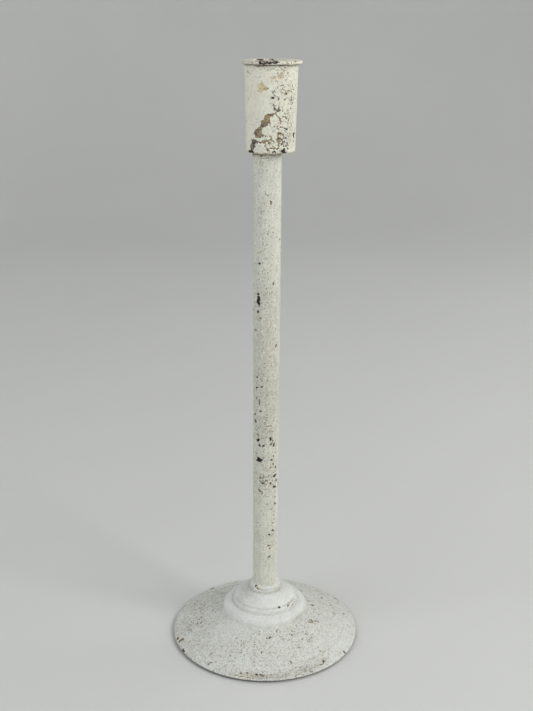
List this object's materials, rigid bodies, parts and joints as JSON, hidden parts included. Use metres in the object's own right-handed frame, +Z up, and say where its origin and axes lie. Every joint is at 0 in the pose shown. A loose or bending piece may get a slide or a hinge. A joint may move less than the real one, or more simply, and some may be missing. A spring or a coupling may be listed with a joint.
{
  "type": "wooden candlestick",
  "caption": "Tall painted wooden candlestick: a round stepped foot, a slim dowel stem and a tapered cup with a flanged metal liner for a taper candle.",
  "frame": {"origin": "on the table, under the middle of the round foot", "axes": "+Z up along the stem; +X towards the side that the cup is offset to; -Y is the front in the picture"},
  "size_m": [0.134, 0.134, 0.406],
  "materials": {
    "painted_wood": "chalky off-white crackled paint, chipped through to tan and black coats",
    "painted_rim": "the same off-white paint over black metal, worn on the rim",
    "screw_steel": "zinc-plated steel",
    "base_felt": "dark green pressed felt"
  },
  "bodies": {
    "root": {"foot": "painted_wood", "stem": "painted_wood", "candle_cup": "painted_wood", "cup_liner": "painted_rim", "cup_screw": "screw_steel", "foot_screw": "screw_steel", "foot_washer": "screw_steel", "felt_pad": "base_felt"}
  },
  "joints": []
}
